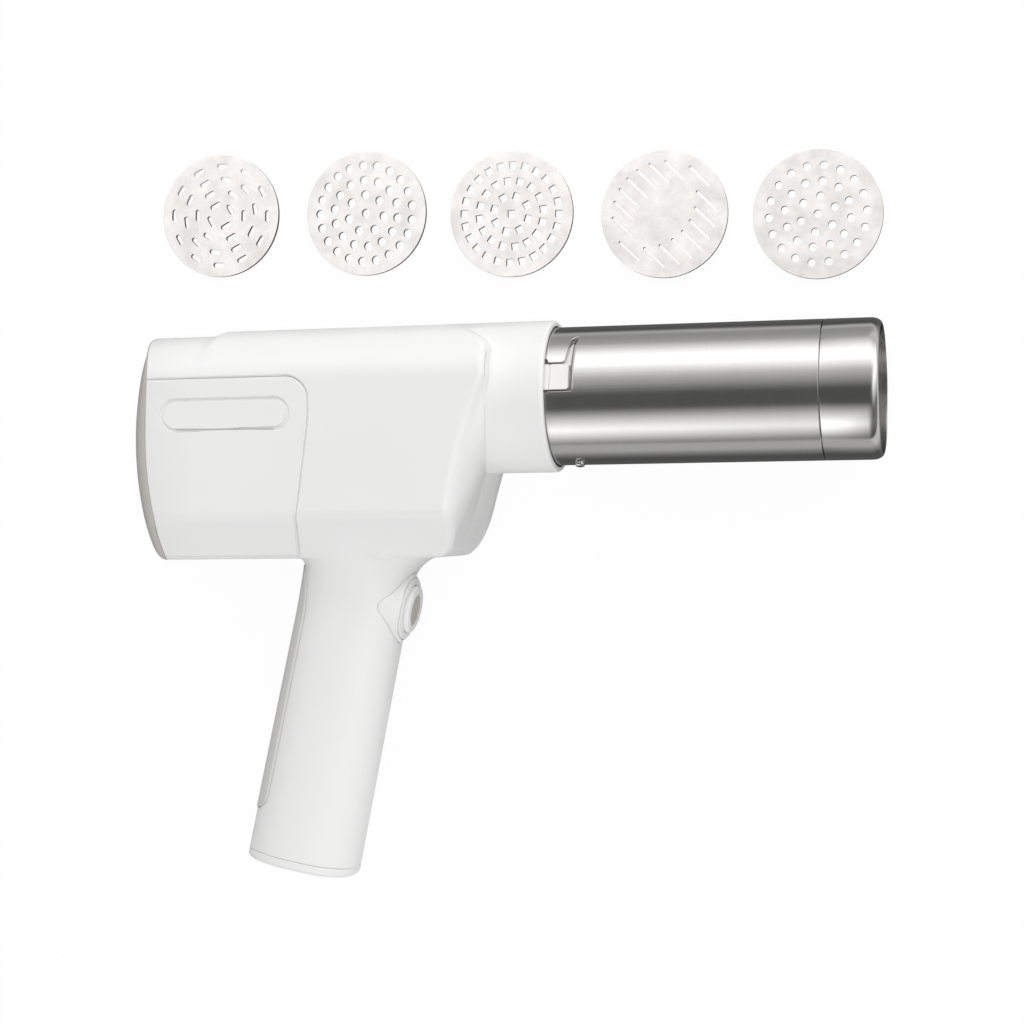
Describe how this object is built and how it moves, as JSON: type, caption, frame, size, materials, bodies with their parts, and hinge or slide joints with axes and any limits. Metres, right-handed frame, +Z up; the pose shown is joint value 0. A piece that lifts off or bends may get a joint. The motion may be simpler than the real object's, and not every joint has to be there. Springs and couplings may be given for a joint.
{
  "type": "electric pasta maker",
  "caption": "Cordless pistol-shaped pasta press with a steel barrel, screw-on nozzle nut, motor-driven piston and loose extrusion dies.",
  "frame": {"origin": "on the flat left side of the housing, which rests on the floor, below the point where the handle's axis crosses the barrel's axis", "axes": "+X along the barrel to the nozzle, +Y square to the barrel and away from the handle, +Z up from the floor to the press's right side"},
  "size_m": [0.3377, 0.3296, 0.078],
  "materials": {
    "white_plastic": "satin",
    "grey_plastic": "satin",
    "dark_plastic": "matte",
    "soft_rubber": "matte",
    "steel": "satin",
    "brass": "satin",
    "cell_can": "satin",
    "board": "matte"
  },
  "bodies": {
    "press_body": {"right_shell": "white_plastic", "left_shell": "white_plastic", "right_side_cover": "white_plastic", "left_side_cover": "white_plastic", "rear_cap": "grey_plastic", "handle_base_cap": "white_plastic", "handle_back_strip": "soft_rubber", "charge_socket": "dark_plastic", "trigger_bezel": "white_plastic", "shell_screw_1": "steel", "shell_screw_2": "steel", "shell_screw_3": "steel", "shell_screw_4": "steel", "shell_screw_5": "steel", "button_spring": "steel", "micro_switch": "dark_plastic", "barrel_socket": "white_plastic", "rear_bulkhead": "dark_plastic", "front_bulkhead": "dark_plastic", "rear_bearing": "steel", "front_bearing": "steel", "ring_gear": "steel", "motor_can": "steel", "motor_end_bell": "dark_plastic", "battery_holder": "dark_plastic", "battery_cell_1": "cell_can", "battery_cell_2": "cell_can", "control_board": "board"},
    "button": {"power_button": "white_plastic", "button_icon": "grey_plastic"},
    "barrel": {"barrel_tube": "steel", "barrel_stud": "steel"},
    "die_plate": {"fitted_die": "steel"},
    "nut": {"nozzle_nut": "steel"},
    "piston": {"piston_head": "white_plastic", "piston_seal": "soft_rubber", "push_rod": "dark_plastic"},
    "drive": {"drive_nut": "brass", "drive_gear": "dark_plastic"},
    "pinion": {"output_pinion": "steel", "planet_carrier": "steel"},
    "planet_1": {"planet_gear_1": "brass"},
    "planet_2": {"planet_gear_2": "brass"},
    "planet_3": {"planet_gear_3": "brass"},
    "rotor": {"motor_rotor": "steel", "sun_gear": "brass"},
    "loose_die_1": {"die_1": "steel"},
    "loose_die_2": {"die_2": "steel"},
    "loose_die_3": {"die_3": "steel"},
    "loose_die_4": {"die_4": "steel"},
    "loose_die_5": {"die_5": "steel"}
  },
  "joints": [
    {"name": "button_press", "type": "slide", "parent": "press_body", "child": "button", "axis": [-0.977, 0.213, 0], "range_m": [0, 0.002], "stiffness_N_per_m": 500, "springref_m": -0.002, "deforming": ["button_spring"]},
    {"name": "barrel_pull", "type": "slide", "parent": "press_body", "child": "barrel", "axis": [1, 0, 0], "range_m": [0, 0.032]},
    {"name": "die_travel", "type": "slide", "parent": "barrel", "child": "die_plate", "axis": [1, 0, 0], "range_m": [0, 0.0141]},
    {"name": "nut_turn", "type": "hinge", "parent": "die_plate", "child": "nut", "pos_m": [0.2, 0, 0.039], "axis": [1, 0, 0], "range_deg": [0, 1680]},
    {"name": "piston_push", "type": "slide", "parent": "press_body", "child": "piston", "axis": [1, 0, 0], "range_m": [0, 0.1041]},
    {"name": "drive_spin", "type": "hinge", "parent": "press_body", "child": "drive", "pos_m": [0.005, 0, 0.039], "axis": [1, 0, 0], "range_deg": [0, 4680]},
    {"name": "pinion_spin", "type": "hinge", "parent": "press_body", "child": "pinion", "pos_m": [0.005, -0.0375, 0.039], "axis": [-1, 0, 0], "range_deg": [0, 14041]},
    {"name": "rotor_spin", "type": "hinge", "parent": "press_body", "child": "rotor", "pos_m": [-0.02, -0.0375, 0.039], "axis": [-1, 0, 0], "range_deg": [0, 56161]},
    {"name": "planet_spin_1", "type": "hinge", "parent": "pinion", "child": "planet_1", "pos_m": [-0.02, -0.0258, 0.039], "axis": [1, 0, 0], "range_deg": [0, 42121]},
    {"name": "planet_spin_2", "type": "hinge", "parent": "pinion", "child": "planet_2", "pos_m": [-0.02, -0.04335, 0.04913], "axis": [1, 0, 0], "range_deg": [0, 42121]},
    {"name": "planet_spin_3", "type": "hinge", "parent": "pinion", "child": "planet_3", "pos_m": [-0.02, -0.04335, 0.02887], "axis": [1, 0, 0], "range_deg": [0, 42121]},
    {"name": "die_1_lift", "type": "slide", "parent": "press_body", "child": "loose_die_1", "axis": [0, 0, 1], "range_m": [0, 0.12]},
    {"name": "die_2_lift", "type": "slide", "parent": "press_body", "child": "loose_die_2", "axis": [0, 0, 1], "range_m": [0, 0.12]},
    {"name": "die_3_lift", "type": "slide", "parent": "press_body", "child": "loose_die_3", "axis": [0, 0, 1], "range_m": [0, 0.12]},
    {"name": "die_4_lift", "type": "slide", "parent": "press_body", "child": "loose_die_4", "axis": [0, 0, 1], "range_m": [0, 0.12]},
    {"name": "die_5_lift", "type": "slide", "parent": "press_body", "child": "loose_die_5", "axis": [0, 0, 1], "range_m": [0, 0.12]}
  ],
  "couplings": [
    {"joint": "die_travel", "follows": "nut_turn", "m_per_rad": 0.00047746},
    {"joint": "rotor_spin", "follows": "drive_spin", "ratio": 12},
    {"joint": "pinion_spin", "follows": "drive_spin", "ratio": 3},
    {"joint": "planet_spin_1", "follows": "drive_spin", "ratio": 9},
    {"joint": "planet_spin_2", "follows": "drive_spin", "ratio": 9},
    {"joint": "planet_spin_3", "follows": "drive_spin", "ratio": 9},
    {"joint": "piston_push", "follows": "drive_spin", "m_per_rad": 0.0012732}
  ]
}
